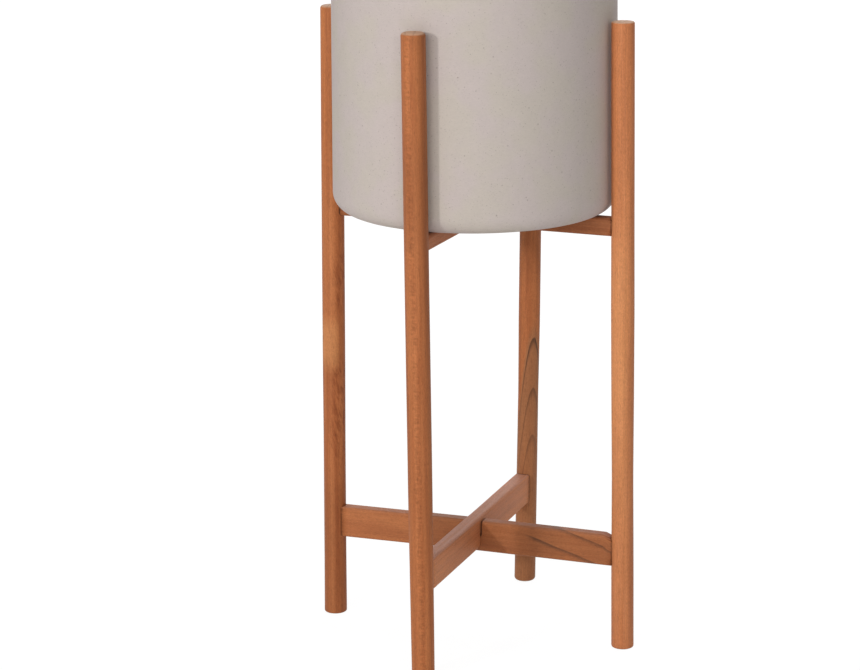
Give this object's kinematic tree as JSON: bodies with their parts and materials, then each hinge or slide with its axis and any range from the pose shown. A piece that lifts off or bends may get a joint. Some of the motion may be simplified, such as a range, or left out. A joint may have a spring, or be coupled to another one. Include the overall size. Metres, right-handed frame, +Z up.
{
  "type": "planter with stand",
  "caption": "Straight round planter pot that rests on crossed rails between tall round wooden legs and lifts straight out of the stand.",
  "frame": {"origin": "on the floor, under the middle of the pot and of both crosses", "axes": "+Z up along the pot's axis, +X from the middle to the right leg, +Y from the middle to the back leg"},
  "size_m": [0.221, 0.221, 0.56],
  "materials": {
    "clay": "matte",
    "leg_teak": "satin",
    "rail_teak": "satin",
    "dowel_wood": "matte"
  },
  "bodies": {
    "stand": {"front_leg": "leg_teak", "right_leg": "leg_teak", "back_leg": "leg_teak", "left_leg": "leg_teak", "upper_rail_front_back": "rail_teak", "upper_rail_left_right": "rail_teak", "lower_rail_front_back": "rail_teak", "lower_rail_left_right": "rail_teak", "upper_front_dowel": "dowel_wood", "upper_right_dowel": "dowel_wood", "upper_back_dowel": "dowel_wood", "upper_left_dowel": "dowel_wood", "lower_front_dowels": "dowel_wood", "lower_right_dowels": "dowel_wood", "lower_back_dowels": "dowel_wood", "lower_left_dowels": "dowel_wood"},
    "pot": {"pot": "clay"}
  },
  "joints": [
    {"name": "pot_lift", "type": "slide", "parent": "stand", "child": "pot", "axis": [0, 0, 1], "range_m": [0, 0.15]}
  ]
}
